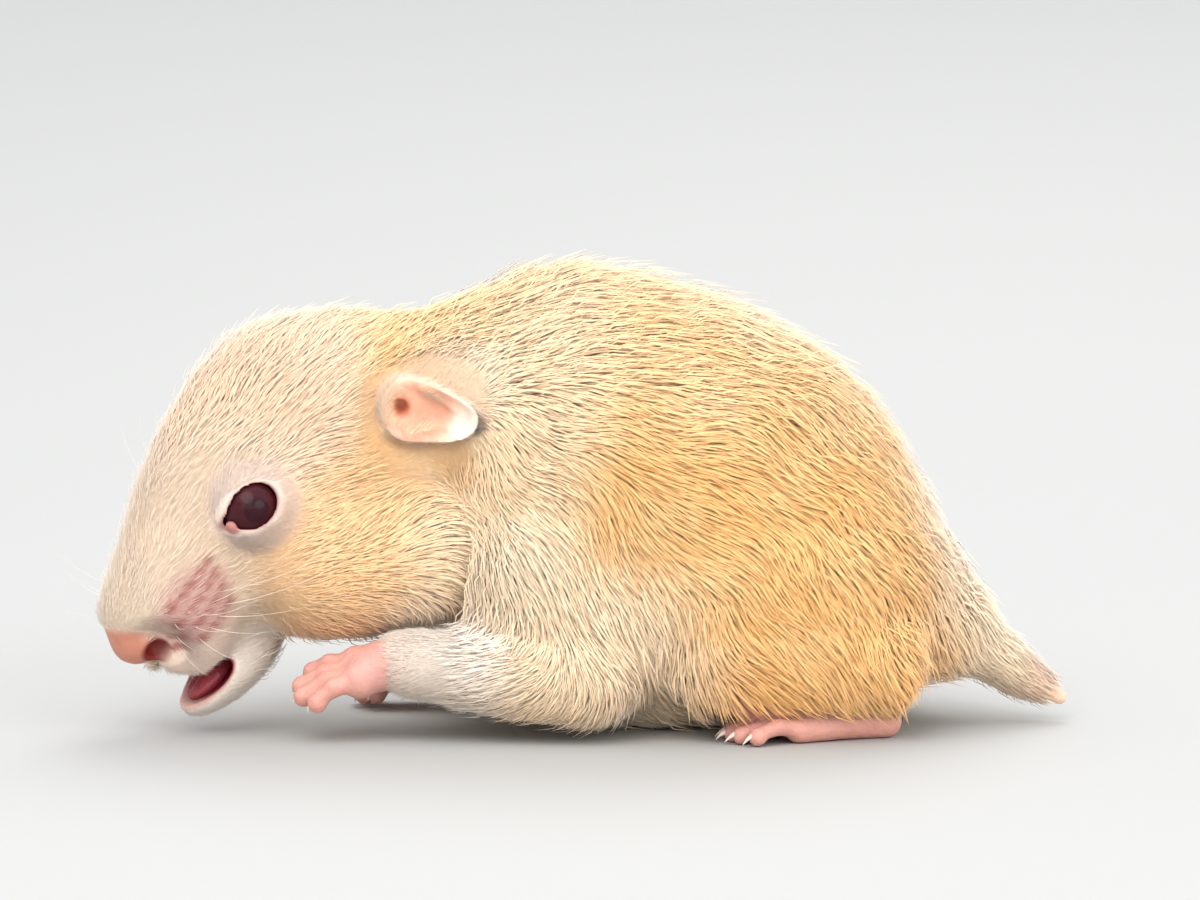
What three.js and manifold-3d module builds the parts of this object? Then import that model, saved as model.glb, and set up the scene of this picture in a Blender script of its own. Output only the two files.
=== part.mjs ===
// A young Syrian hamster, about two weeks old, as a still life-size model in a low crouch.
// Its head is pitched down and turned towards its left, and its mouth is a little open.
// Units are millimetres. +Z is up, the hamster faces -X and its left side faces -Y.
// The solids reach the tips of the coat. The body is a soft blend of balls and rods. Thin cuts part it
// into head, neck, trunk and tail, and each limb is parted from it round the limb's own lobe.
import * as THREE from "three";
import { mergeVertices } from "three/addons/utils/BufferGeometryUtils.js";
import Module from "manifold-3d";

const wasm = await Module();
wasm.setup();

// ---- Driving sizes ----
const GAP = 0.3; // between neighbouring solids
const OVER = 2.5; // how far a piece of the body is shaped past its cut
const LOBE = 0.8; // how far a limb's piece reaches past its lobe
const BODY_BLEND = 4; // how softly the balls of the body run together
const LIMB_BLEND = 1.6; // and how softly a limb leaves it

const HEAD_AT = [-25.2, -4.7, 15.1]; // the point midway between the eyes
const HEAD_PITCH = 40; // degrees, nose down
const HEAD_YAW = 34; // degrees, nose towards the left side

const EYE_RADIUS = 1.95;
const EYE_AT = [0.7, 5.3, 0.1]; // on the right side of the head
const NOSE_AT = [-10.3, 0, -3.5];
const NOSE_RADII = [1.4, 1.5, 1.4];
const MOUTH_AT = [-8.6, 0, -7.7];
const MOUTH_RADII = [3.0, 3.0, 1.6];
const TONGUE_AT = [-7.4, 0, -8.9];
const TONGUE_RADII = [1.7, 1.1, 0.7];

const EAR_THICK = 0.7;
const EAR_HALF_LENGTH = 3.1;
const EAR_HALF_WIDTH = 2.0;
const EAR_OUT = { left: 11.5, right: 9.9 }; // the skin is bunched on the side that the head turns to

const ELBOW_RADIUS = 3.3;
const WRIST_RADIUS = 1.9;
const FOREARMS = {
  left: { elbow: [0.6, -9.9, 4.4], wrist: [-10.8, -9.8, 4.9] },
  right: { elbow: [0.6, 9.9, 4.4], wrist: [-9.2, 8.0, 2.9] },
};
const UPPER_ARM_RADII = [6.4, 4.6, 8.0];
const THIGH_RADII = [10.2, 4.7, 8.0];
const UPPER_ARM_AT = { left: [-1.6, -8.3, 9.8], right: [-1.6, 8.3, 9.8] };
const THIGH_AT = { left: [11.5, -8.8, 9.6], right: [11.5, 8.8, 9.6] };

// A foot runs from its heel to the tip of its longest digit. Its width is across the digits' tips, and
// roll turns it about its length.
const FORE = { count: 4, digit: 3.2, deep: 1.1 };
const HIND = { roll: 0, width: 4.2, count: 5, digit: 3.8, deep: 1.2 };
const FEET = {
  forepaw_left: { ...FORE, heel: [-11.6, -9.6, 4.8], toe: [-19.0, -9.4, 2.6], roll: -60, width: 3.4 },
  forepaw_right: { ...FORE, heel: [-9.6, 7.8, 2.6], toe: [-16.2, 7.2, 0.5], roll: 0, width: 3.6 },
  hind_foot_left: { ...HIND, heel: [22.0, -7.6, 1.5], toe: [9.8, -10.4, 0.5] },
  hind_foot_right: { ...HIND, heel: [22.0, 7.6, 1.5], toe: [9.8, 10.4, 0.5] },
};
const DIGIT_RADIUS = 0.68;

const TAIL = { root: [27.0, 0, 6.0], tip: [33.6, 0, 1.6], rootRadius: 1.7, tipRadius: 0.7 };

// ---- Vectors and frames ----
const rad = THREE.MathUtils.degToRad;
const deg = THREE.MathUtils.radToDeg;
const lerp = THREE.MathUtils.lerp;
const vec = (a) => new THREE.Vector3(...a);
const UPRIGHT = new THREE.Vector3(0, 1, 0); // the axis of a three.js sphere

const SIDES = { left: -1, right: 1 }; // the sign of Y
const mirrored = (at, s) => [at[0], s * at[1], at[2]];
const eachSide = (make) => Object.values(SIDES).map(make);
const wayFrom = (from, to) => vec(to).sub(vec(from)).toArray();
const halfway = (from, to) => vec(from).lerp(vec(to), 0.5).toArray();

// Turns the nose down by pitch and to the left by yaw, in degrees, with the left side down by roll.
const turned = (pitch = 0, yaw = 0, roll = 0) =>
  new THREE.Quaternion().setFromEuler(new THREE.Euler(rad(roll), -rad(pitch), rad(yaw), "ZYX"));
const placed = (at, turn) => new THREE.Matrix4().compose(vec(at), turn, new THREE.Vector3(1, 1, 1));

const bodyFrame = new THREE.Matrix4();
const headFrame = placed(HEAD_AT, turned(HEAD_PITCH, HEAD_YAW));
const inHead = { frame: headFrame };
const onHead = (at) => vec(at).applyMatrix4(headFrame).toArray();
const headWay = (way) => vec(way).transformDirection(headFrame).toArray();

// ---- Fields: negative inside, and about the distance in millimetres outside ----

// An ellipsoid in a frame.
function ball(centre, radii, { frame = bodyFrame, pitch = 0, yaw = 0, roll = 0 } = {}) {
  const own = placed(centre, turned(pitch, yaw, roll));
  const toOwn = new THREE.Matrix4().multiplyMatrices(frame, own).invert();
  const r = vec(radii);
  const q = new THREE.Vector3();
  return (p) => {
    q.copy(p).applyMatrix4(toOwn).divide(r);
    const out = q.length();
    return out < 1e-6 ? -Math.min(...radii) : (out * (out - 1)) / q.divide(r).length();
  };
}

// A rod with round ends of two sizes.
function rod(from, to, fromRadius, toRadius) {
  const a = vec(from);
  const way = vec(to).sub(a);
  const q = new THREE.Vector3();
  return (p) => {
    q.copy(p).sub(a);
    const t = THREE.MathUtils.clamp(q.dot(way) / way.lengthSq(), 0, 1);
    return q.addScaledVector(way, -t).length() - lerp(fromRadius, toRadius, t);
  };
}

// A half space: negative on the side that the plane's way points away from.
function side({ at, way }) {
  const normal = vec(way).normalize();
  const level = normal.dot(vec(at));
  return (p) => normal.dot(p) - level;
}

function softMin(a, b, soft) {
  const near = Math.max(soft - Math.abs(a - b), 0) / soft;
  return Math.min(a, b) - (near * near * soft) / 4;
}

const blend = (soft, ...fields) => (p) => fields.reduce((d, field) => softMin(d, field(p), soft), 1e3);
const both = (...fields) => (p) => Math.max(...fields.map((field) => field(p)));
const grown = (field, by) => (p) => field(p) - by;

// ---- Solids ----
function solidOf(geometry) {
  const bare = geometry.clone();
  bare.deleteAttribute("normal");
  bare.deleteAttribute("uv");
  const merged = mergeVertices(bare, 1e-4);
  return new wasm.Manifold(
    new wasm.Mesh({
      numProp: 3,
      vertProperties: new Float32Array(merged.attributes.position.array),
      triVerts: new Uint32Array(merged.index.array),
    }),
  );
}

// A closed skin round a field, as seen from its centre: each point of a sphere moves out until it
// leaves the field. The sphere's poles, where its points lie closest, are put along pole.
function star(centre, field, across, along, pole = [1, 0, 0]) {
  const STRIDE = 0.3;
  const HALVINGS = 12;
  const sphere = new THREE.SphereGeometry(1, across, along);
  sphere.applyQuaternion(new THREE.Quaternion().setFromUnitVectors(UPRIGHT, vec(pole).normalize()));
  const at = sphere.attributes.position;
  const way = new THREE.Vector3();
  const p = new THREE.Vector3();
  const outside = (r) => field(p.copy(vec(centre)).addScaledVector(way, r)) > 0;
  for (let i = 0; i < at.count; i++) {
    way.fromBufferAttribute(at, i).normalize();
    let low = 0;
    while (!outside(low + STRIDE)) low += STRIDE;
    let high = low + STRIDE;
    for (let n = 0; n < HALVINGS; n++) {
      const middle = (low + high) / 2;
      if (outside(middle)) high = middle;
      else low = middle;
    }
    p.copy(vec(centre)).addScaledVector(way, low);
    at.setXYZ(i, p.x, p.y, p.z);
  }
  return solidOf(sphere);
}

const ballSolid = (centre, radii, across, along) =>
  star(onHead(centre), ball(centre, radii, inHead), across, along, headWay([0, 1, 0]));

function rodSolid(from, to, fromRadius, toRadius, across, along) {
  return star(halfway(from, to), rod(from, to, fromRadius, toRadius), across, along, wayFrom(from, to));
}

// A large box on the side of a plane that its way points to, off the plane by half a gap.
function beyond({ at, way }, off = GAP / 2) {
  const SIZE = 120;
  const box = new THREE.BoxGeometry(SIZE, SIZE, SIZE);
  box.translate(0, SIZE / 2 + off, 0);
  box.applyQuaternion(new THREE.Quaternion().setFromUnitVectors(UPRIGHT, vec(way).normalize()));
  box.translate(...at);
  return solidOf(box);
}

const flipped = ({ at, way }) => ({ at, way: way.map((w) => -w) });
const largest = (solid) => solid.decompose().sort((a, b) => b.volume() - a.volume())[0];

// ---- Flesh ----
const upperArm = (name) => ball(UPPER_ARM_AT[name], UPPER_ARM_RADII, { pitch: 6 });
const thigh = (name) => ball(THIGH_AT[name], THIGH_RADII, { pitch: -14 });
const forearm = ({ elbow, wrist }) => rod(elbow, wrist, ELBOW_RADIUS, WRIST_RADIUS);

const flesh = blend(
  LIMB_BLEND,
  blend(
    BODY_BLEND,
    ball([9.8, 0, -1.7], [7.6, 8.8, 9.0], inHead), // cranium
    ball([4.1, 0, 0.9], [8.9, 4.4, 6.5], inHead), // brow
    ball([-4.0, 0, -0.3], [4.9, 3.3, 3.2], inHead), // bridge of the nose
    ball([-7.2, 0, -3.2], [2.4, 1.6, 2.2], inHead), // tip of the nose
    ...eachSide((s) => ball([-7.8, s * 2.95, -3.8], [3.5, 2.4, 3.4], inHead)), // whisker pads
    ...eachSide((s) => ball([5.7, s * 4.2, -6.4], [7.6, 4.8, 6.6], { ...inHead, pitch: -20 })), // cheeks
    ball([-6.0, 0, -9.2], [4.1, 2.6, 1.9], inHead), // lower jaw
    ball([-9.5, -0.8, 16.4], [7.4, 3.6, 13.3], { pitch: 27 }), // nape and throat
    ball([1.8, 0, 14.9], [14.1, 11.2, 18.3], { pitch: 31 }), // withers and chest
    ball([7.6, 0, 16.7], [16.3, 12.8, 12.9], { pitch: -22 }), // loin
    ball([16.0, 0, 11.5], [12.0, 12.0, 8.3], { pitch: -38 }), // rump
    ball([26.6, 0, 7.1], [8.1, 4.5, 2.3], { pitch: -46 }), // root of the tail
  ),
  ...Object.keys(SIDES).map(upperArm),
  ...Object.keys(SIDES).map(thigh),
  ...Object.values(FOREARMS).map(forearm),
);

// ---- Head, neck, trunk and tail ----
const CUTS = {
  head: { at: [-11.0, -1.5, 20], way: [0.95, 0.3, -0.02] },
  neck: { at: [-5.5, 0, 20], way: [1, 0, -0.28] },
  tail: { at: [25.6, 0, 8.2], way: [0.72, 0, -0.7] },
  jaw: { at: onHead([-3.0, 0, -8.3]), way: headWay([-0.16, 0, -1]) },
  throat: { at: onHead([-2.6, 0, -9.5]), way: headWay([-1, 0, 0.1]) },
  floor: { at: [0, 0, 0], way: [0, 0, -1] },
};
const DOWN_THE_MUZZLE = [-0.6, -0.35, -0.7];
const DOWN_THE_TAIL = [0.8, 0, -0.6];

// A piece of a field between two cuts: ahead of one and behind the other, where they are given.
function piece({ centre, field = flesh, before, after, across, along, pole }) {
  const limits = [];
  if (before) limits.push(grown(side(before), OVER));
  if (after) limits.push(grown(side(flipped(after)), OVER));
  let solid = star(centre, both(field, ...limits), across, along, pole);
  if (before) solid = solid.intersect(beyond(flipped(before)));
  if (after) solid = solid.intersect(beyond(after));
  return solid;
}

const body = {
  head: piece({
    centre: onHead([3, 0, -2.5]),
    before: CUTS.head,
    across: 30,
    along: 20,
    pole: DOWN_THE_MUZZLE,
  }),
  neck: piece({ centre: [-8.2, -1, 17], before: CUTS.neck, after: CUTS.head, across: 20, along: 12 }),
  trunk: piece({
    centre: [7, 0, 13],
    before: CUTS.tail,
    after: CUTS.neck,
    across: 28,
    along: 15,
    pole: [0, 0, 1],
  }).intersect(beyond(CUTS.head)),
};
const solids = {};

solids.tail = piece({
  centre: [28.6, 0, 5.3],
  field: blend(LIMB_BLEND, flesh, rod(TAIL.root, TAIL.tip, TAIL.rootRadius, TAIL.tipRadius)),
  after: CUTS.tail,
  across: 14,
  along: 12,
  pole: DOWN_THE_TAIL,
});

// Cuts a pocket into every part of the body.
function carve(cutter) {
  for (const name of Object.keys(body)) body[name] = body[name].subtract(cutter);
}

// ---- Eyes, nose and mouth ----
const more = (radii, by) => radii.map((r) => r + by);

for (const [name, s] of Object.entries(SIDES)) {
  const radii = Array(3).fill(EYE_RADIUS);
  solids["eye_" + name] = ballSolid(mirrored(EYE_AT, s), radii, 10, 8);
  carve(ballSolid(mirrored(EYE_AT, s), more(radii, GAP), 10, 8));
}
solids.nose = ballSolid(NOSE_AT, NOSE_RADII, 10, 6);
carve(ballSolid(NOSE_AT, more(NOSE_RADII, GAP), 10, 6));
carve(ballSolid(MOUTH_AT, MOUTH_RADII, 12, 8));

solids.tongue = ballSolid(TONGUE_AT, TONGUE_RADII, 10, 6);
carve(ballSolid(TONGUE_AT, more(TONGUE_RADII, GAP), 10, 6));

solids.lower_jaw = body.head.intersect(beyond(CUTS.jaw)).intersect(beyond(CUTS.throat));
const chin = beyond(CUTS.jaw, -GAP / 2).intersect(beyond(CUTS.throat, -GAP / 2));
body.head = body.head.subtract(chin);

// ---- Feet ----

// A palm or sole with a fan of digits, the outer ones shorter.
function foot({ heel, toe, roll, width, count, digit, deep }) {
  const way = vec(wayFrom(heel, toe));
  const length = way.length();
  way.normalize();
  const level = new THREE.Vector3(0, 1, 0).addScaledVector(way, -way.y).normalize();
  const across = level.applyAxisAngle(way, rad(roll));
  const at = (along, out) => vec(heel).addScaledVector(way, along).addScaledVector(across, out).toArray();
  const palm = length - digit;
  const halves = [-1, 1].map((h) => rod(at(deep, 0), at(palm - deep, h * width * 0.3), deep, deep));
  let whole = star(at(palm / 2, 0), blend(1, ...halves), 8, 6, way.toArray());
  for (let i = 0; i < count; i++) {
    const share = (2 * i) / (count - 1) - 1; // from -1 to 1 across the foot
    const shorter = digit * 0.28 * share * share;
    const root = at(palm - 0.8, share * width * 0.34);
    const tip = at(length - shorter - DIGIT_RADIUS, share * width * 0.56);
    whole = whole.add(rodSolid(root, tip, DIGIT_RADIUS * 1.1, DIGIT_RADIUS, 6, 4));
  }
  return whole;
}

// An egg that holds a whole foot with room to spare.
function footRoom({ heel, toe, roll, width, deep }) {
  const way = vec(wayFrom(heel, toe));
  const length = way.length();
  const pitch = deg(Math.asin(-way.z / length));
  const yaw = deg(Math.atan2(-way.y, -way.x));
  const field = ball(halfway(heel, toe), [length * 0.62, width * 0.8, deep + 0.5], { pitch, yaw, roll });
  return star(halfway(heel, toe), field, 8, 6, way.toArray());
}

for (const [name, sizes] of Object.entries(FEET)) {
  solids[name] = foot(sizes);
  carve(footRoom(sizes));
}

// ---- Limbs ----
const rooms = [];

// A limb is the flesh within its own lobe grown a little. It makes way for the limbs parted before it,
// and leaves a pocket in what it grows from.
function part(name, centre, lobe, across, along, pole) {
  const own = star(centre, both(flesh, grown(lobe, LOBE)), across, along, pole);
  const room = star(centre, grown(lobe, LOBE + GAP), across, along, pole);
  solids[name] = rooms.reduce((left, other) => left.subtract(other), own);
  rooms.push(room);
  carve(room);
}

for (const name of Object.keys(SIDES)) {
  const { elbow, wrist } = FOREARMS[name];
  const { heel, toe } = FEET["forepaw_" + name];
  const hand = beyond({ at: heel, way: wayFrom(heel, toe) }, -GAP);
  const bones = rod(elbow, wrist, ELBOW_RADIUS - LOBE, WRIST_RADIUS - LOBE / 2);
  rooms.push(footRoom(FEET["hind_foot_" + name]));
  part("forearm_" + name, halfway(elbow, wrist), bones, 12, 8, wayFrom(elbow, wrist));
  part("upper_arm_" + name, UPPER_ARM_AT[name], upperArm(name), 14, 9);
  part("thigh_" + name, THIGH_AT[name], thigh(name), 16, 9);
  solids["forearm_" + name] = solids["forearm_" + name].subtract(hand);
}
Object.assign(solids, body);

// ---- Ears ----

// A cupped leaf with square corners that stands back and out from the head. Its upper rim folds over
// towards the tip. It is shaped for the right side of the head, and mirrored for the left.
function ear(out, s) {
  const CUP = 0.9; // how far the long rims bend out
  const CURL = 0.3; // and the tip
  const FOLD = 1.2; // and the upper corner of the tip
  const along = vec([0.36, 0.75, -0.53]).normalize();
  const up = vec([0.63, 0.18, 0.75]);
  const across = up.addScaledVector(along, -up.dot(along)).normalize();
  const outward = new THREE.Vector3().crossVectors(across, along);
  const leaf = new THREE.SphereGeometry(1, 16, 8);
  leaf.rotateX(Math.PI / 2);
  const at = leaf.attributes.position;
  const p = new THREE.Vector3();
  for (let i = 0; i < at.count; i++) {
    const [x, y, z] = [at.getX(i), at.getY(i), at.getZ(i)];
    const r = Math.hypot(x, y);
    const square = r > 1e-6 ? r / Math.cbrt(Math.abs(x) ** 3 + Math.abs(y) ** 3) : 1;
    const u = x * lerp(1, square, r);
    const v = y * lerp(1, square, r);
    const bend = CUP * v * v + CURL * u * u + FOLD * Math.max(0.5 * u + v - 0.8, 0);
    const thick = Math.sign(z) * Math.sqrt(Math.abs(z)) * EAR_THICK;
    p.set(12.7, out, -1.8)
      .addScaledVector(along, u * EAR_HALF_LENGTH)
      .addScaledVector(across, v * EAR_HALF_WIDTH * (1 + 0.15 * u))
      .addScaledVector(outward, bend - thick / 2);
    at.setXYZ(i, p.x, p.y, p.z);
  }
  const right = solidOf(leaf);
  return (s > 0 ? right : right.mirror([0, 1, 0])).transform(headFrame.elements);
}
const nearEars = star(onHead([6, 0, -2.5]), both(grown(flesh, GAP), side(CUTS.neck)), 28, 18);
for (const [name, s] of Object.entries(SIDES)) {
  solids["ear_" + name] = ear(EAR_OUT[name], s).subtract(nearEars);
}

// ---- Looks ----
const look = (color, roughness) => new THREE.MeshStandardMaterial({ color, roughness });
const FUR = look(0xf3cf98, 0.9);
const BARE = look(0xeaa9a0, 0.55);
const LOOKS = {
  eye: look(0x1c0508, 0.08),
  nose: look(0xd9806c, 0.45),
  tongue: look(0x9c2c42, 0.35),
  ear: look(0xf0b8a6, 0.6),
  forepaw: BARE,
  hind_foot: BARE,
};
const lookOf = (name) => LOOKS[Object.keys(LOOKS).find((key) => name.startsWith(key))] ?? FUR;

// ---- The model: everything above the floor, with its origin in the middle of the footprint ----
const group = new THREE.Group();
for (const [name, solid] of Object.entries(solids)) {
  const { vertProperties, triVerts } = largest(solid.subtract(beyond(CUTS.floor, 0))).getMesh();
  const geometry = new THREE.BufferGeometry();
  geometry.setAttribute("position", new THREE.BufferAttribute(vertProperties, 3));
  geometry.setIndex(new THREE.BufferAttribute(triVerts, 1));
  const mesh = new THREE.Mesh(geometry, lookOf(name));
  mesh.name = name;
  group.add(mesh);
}
const middle = new THREE.Box3().setFromObject(group).getCenter(new THREE.Vector3());
group.position.set(-middle.x, -middle.y, 0);

export default group;
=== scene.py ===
"""A young Syrian hamster in its coat, as a still life-size model on a plain pale floor.

One skin replaces the flesh of the frame. It lies under the solids by the depth of the coat, and has the
lids, nostrils, lips, ears, toes and tail tip modelled in it. The coat is tufts of solid mesh that follow
its lie. Eyes, tongue, claws and whiskers are pieces of their own. Lengths are in millimetres in the
frame's own axes, and MM turns them into metres.
"""

import bpy
import numpy as np
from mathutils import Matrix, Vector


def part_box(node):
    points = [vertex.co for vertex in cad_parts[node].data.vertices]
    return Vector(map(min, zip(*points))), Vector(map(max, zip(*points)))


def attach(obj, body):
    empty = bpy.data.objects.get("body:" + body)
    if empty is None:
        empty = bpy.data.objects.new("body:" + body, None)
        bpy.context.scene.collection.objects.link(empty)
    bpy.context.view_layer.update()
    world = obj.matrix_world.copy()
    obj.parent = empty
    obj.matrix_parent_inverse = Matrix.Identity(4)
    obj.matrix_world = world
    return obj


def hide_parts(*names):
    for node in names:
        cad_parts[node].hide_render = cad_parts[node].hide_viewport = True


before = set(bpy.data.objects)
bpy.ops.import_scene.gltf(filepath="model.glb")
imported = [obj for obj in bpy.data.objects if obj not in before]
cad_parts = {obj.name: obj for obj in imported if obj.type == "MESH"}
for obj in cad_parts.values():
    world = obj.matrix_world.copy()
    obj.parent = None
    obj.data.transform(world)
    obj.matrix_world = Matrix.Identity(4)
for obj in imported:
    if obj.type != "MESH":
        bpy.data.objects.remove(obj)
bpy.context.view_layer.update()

import openvdb as vdb
from mathutils import Matrix, Vector
from mathutils.bvhtree import BVHTree
from mathutils.kdtree import KDTree

MM = 0.001
random = np.random.default_rng(11)

# ---- Camera, light and floor ----
CAMERA_TARGET = (1.04, 0.0, 18.9)
CAMERA_DISTANCE = 240.0
CAMERA_RISE = 4.0  # degrees above the horizon
CAMERA_LENS = 103.7
FLOOR_FLAT = 150.0  # radius of the flat part
FLOOR_EDGE = 900.0  # radius at which the floor has swept up into a wall
FLOOR_RISE = 420.0
FLOOR_SWEEP = 2.4  # power of the curve that it rises by
FLOOR_COLOUR = (0.45, 0.449, 0.438, 1)
WARM_WHITE = (1, 0.98, 0.95)
# Each soft round light: its place, how wide it is, its power in watts and its colour.
LIGHTS = {
    "key": ((-120, -330, 420), 440, 1.45, WARM_WHITE),
    "fill": ((330, -380, 160), 480, 1.4, (1.0, 0.99, 0.98)),
    "bounce": ((-90, -430, 40), 460, 0.7, WARM_WHITE),
    "rim": ((60, 330, 420), 340, 1.2, WARM_WHITE),
}
SKY_COLOUR = (0.93, 0.96, 1, 1)
SKY_STRENGTH = 1.32


def unit(v):
    v = np.asarray(v, float)
    return v / np.linalg.norm(v, axis=-1, keepdims=True)


def placed(name, data, at):
    """An object at a place, looking at the camera's target."""
    made = bpy.data.objects.new(name, data)
    made.location = Vector(at) * MM
    aim = Vector(CAMERA_TARGET) - Vector(at)
    made.rotation_euler = aim.to_track_quat("-Z", "Y").to_euler()
    bpy.context.collection.objects.link(made)
    return made


def make_camera():
    data = bpy.data.cameras.new("camera")
    data.lens = CAMERA_LENS
    data.clip_start = 0.01
    data.clip_end = 10.0
    rise = np.radians(CAMERA_RISE)
    back = Vector((0, -np.cos(rise), np.sin(rise))) * CAMERA_DISTANCE
    bpy.context.scene.camera = placed("camera", data, Vector(CAMERA_TARGET) + back)


def make_lights():
    for name, (at, size, power, colour) in LIGHTS.items():
        data = bpy.data.lights.new(name, "AREA")
        data.shape = "DISK"
        data.size = size * MM
        data.energy = power
        data.color = colour
        placed(name, data, at)
    world = bpy.data.worlds.new("studio")
    world.use_nodes = True
    sky = world.node_tree.nodes["Background"]
    sky.inputs["Color"].default_value = SKY_COLOUR
    sky.inputs["Strength"].default_value = SKY_STRENGTH
    bpy.context.scene.world = world


def make_floor():
    """A flat disc that sweeps up into a far round wall, so that no horizon shows."""
    RINGS = 40
    SPOKES = 96
    share = np.linspace(0, 1, RINGS)
    radii = FLOOR_FLAT + (FLOOR_EDGE - FLOOR_FLAT) * share
    rings, faces = wheel(radii, FLOOR_RISE * share**FLOOR_SWEEP, SPOKES)
    floor = mesh_from("floor", np.array([(0, 0, 0), *rings]), np.array(faces))
    floor.data.materials.append(new_material("floor", Base_Color=FLOOR_COLOUR, Roughness=0.85))


# ---- The head's own axes, from the eyes and nose of the frame ----
# x is back, y is to the right and z is up. The zero point lies between the eyes.
EYE_FORE_AND_UP = (0.7, 0.1)  # of the eyes, on those axes
NOSE_DROP = 18.1  # degrees of the line from the eyes to the nose below the head's own level
EYE_RADIUS = 2.05
EYE_SUNK = 0.12  # how much deeper the whole eyeball lies than its solid
SIDES = {"left": -1, "right": 1}
STRAIGHT = np.eye(3)


def centre(node):
    low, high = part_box(node)
    return np.array(low + high) / 2 / MM


SOLID_EYES = {side: centre("eye_" + side) for side in SIDES}


def head_axes():
    right = unit(SOLID_EYES["right"] - SOLID_EYES["left"])
    between = (SOLID_EYES["right"] + SOLID_EYES["left"]) / 2
    to_nose = centre("nose") - between
    to_nose = unit(to_nose - right * (to_nose @ right))
    under = np.cross(to_nose, right)
    drop = np.radians(NOSE_DROP)
    back = -np.cos(drop) * to_nose + np.sin(drop) * under
    up = -np.sin(drop) * to_nose - np.cos(drop) * under
    axes = np.stack([back, right, up], 1)
    return axes, between - axes @ (EYE_FORE_AND_UP[0], 0, EYE_FORE_AND_UP[1])


HEAD_AXES, HEAD_AT = head_axes()
EYES = {name: SOLID_EYES[name] - HEAD_AXES[:, 1] * s * EYE_SUNK for name, s in SIDES.items()}


def on_head(at):
    return HEAD_AT + HEAD_AXES @ np.asarray(at, float)


def to_head(points):
    return (points - HEAD_AT) @ HEAD_AXES


def each_side(at, radii):
    """A shape's place and radii on the left and on the right."""
    return [((at[0], s * at[1], at[2]), radii) for s in SIDES.values()]


# ---- Shapes: functions from points to about the distance outside, negative inside ----
def egg(at, radii, axes=STRAIGHT):
    """An egg with its radii on some axes, or a ball with one radius."""
    at = np.asarray(at, float)
    radii = np.asarray(radii, float)

    def distance(points):
        q = ((points - at) @ axes) / radii
        out = np.linalg.norm(q, axis=-1)
        return out * (out - 1) / np.maximum(np.linalg.norm(q / radii, axis=-1), 1e-9)

    return distance


def head_egg(at, radii, pitch=0.0):
    """An egg on the head's axes, with its front end lower by pitch degrees."""
    tilt = np.array(Matrix.Rotation(np.radians(-pitch), 3, "Y"))
    return egg(on_head(at), radii, HEAD_AXES @ tilt)


def rod(start, end, start_radius, end_radius):
    start = np.asarray(start, float)
    way = np.asarray(end, float) - start

    def distance(points):
        along = np.clip((points - start) @ way / (way @ way), 0, 1)
        off = points - start - along[..., None] * way
        return np.linalg.norm(off, axis=-1) - (start_radius + (end_radius - start_radius) * along)

    return distance


def grown(shape, by):
    return lambda points: shape(points) - by


def moved(shape, way):
    return lambda points: shape(points - way)


def soft_min(a, b, soft):
    near = np.maximum(soft - np.abs(a - b), 0) / soft
    return np.minimum(a, b) - near * near * soft / 4


def soft_max(a, b, soft):
    return -soft_min(-a, -b, soft)


def smooth_step(low, high, value):
    t = np.clip((value - low) / (high - low), 0, 1)
    return t * t * (3 - 2 * t)


def within(shape, points, soft):
    """1 inside a shape, falling to 0 at a distance of soft outside it."""
    return 1 - smooth_step(0, soft, shape(points))


# ---- The body that the coat and skin are worked out from ----
# The ears and nose are modelled afresh, and the tongue is a piece of its own.
FLESH_NODES = [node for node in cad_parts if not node.startswith(("ear", "nose", "tongue"))]
COARSE = 0.3  # grid step for the body
CLOSE = 0.8  # gaps up to twice this wide between the solids are closed
SMOOTH = 0.75  # how widely the solids' facets are smoothed out
DEEPEST = 4.2  # how far the distances reach inwards
FAR = 9.0  # more than any distance worked out
MARGIN = 3.0  # of the grid round the flesh
TRIMMED = 4  # points of the coarse grid left off at each end
FINE_X = (0.145, 0.3)  # grid steps of the skin along the head and along the rest
HEAD_END = -7.0  # X where the finer steps end
FINE_YZ = 0.175
SPARSE = 3  # the coat's depth is worked out at one in so many points of the coarse grid
BODY_COAT = 1.15  # the coat's depth

ELBOWS = {"left": (0.1, -9.9, 4.4), "right": (0.1, 9.9, 4.4)}
WRISTS = {"left": (-11.3, -9.8, 5.3), "right": (-9.7, 8, 2.9)}
TAIL_ROOT = (26.5, 0, 6)
TAIL_TIP = (33.1, 0, 1.6)

# A foot runs from its heel to the tip of its longest digit. Its width is across the digits' tips, and
# roll turns it about its length. Deep and thick are the radii of the palm and the digits.
FORE = dict(count=4, digit=3.5, deep=1.3, thick=0.72)
HIND = dict(count=5, digit=3.9, deep=0.95, thick=0.64, roll=0, width=4.2)
FEET = {
    "forepaw_left": dict(FORE, heel=(-12.3, -9.6, 5.6), toe=(-19.7, -9.6, 3.2), roll=-30, width=3.1),
    "forepaw_right": dict(FORE, heel=(-10.1, 7.8, 2.6), toe=(-16.7, 7.2, 0.7), roll=0, width=3.6),
    "hind_foot_left": dict(HIND, heel=(21.2, -7.6, 1.15), toe=(9.3, -10.2, 0.7)),
    "hind_foot_right": dict(HIND, heel=(21.2, 7.6, 1.15), toe=(9.3, 10.2, 0.7)),
}
# The middle of each ear, on the head's axes, as if it were a right one.
EAR_AT = {"left": (13.1, 11.9, -2.1), "right": (13.1, 10.3, -2.1)}


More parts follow.
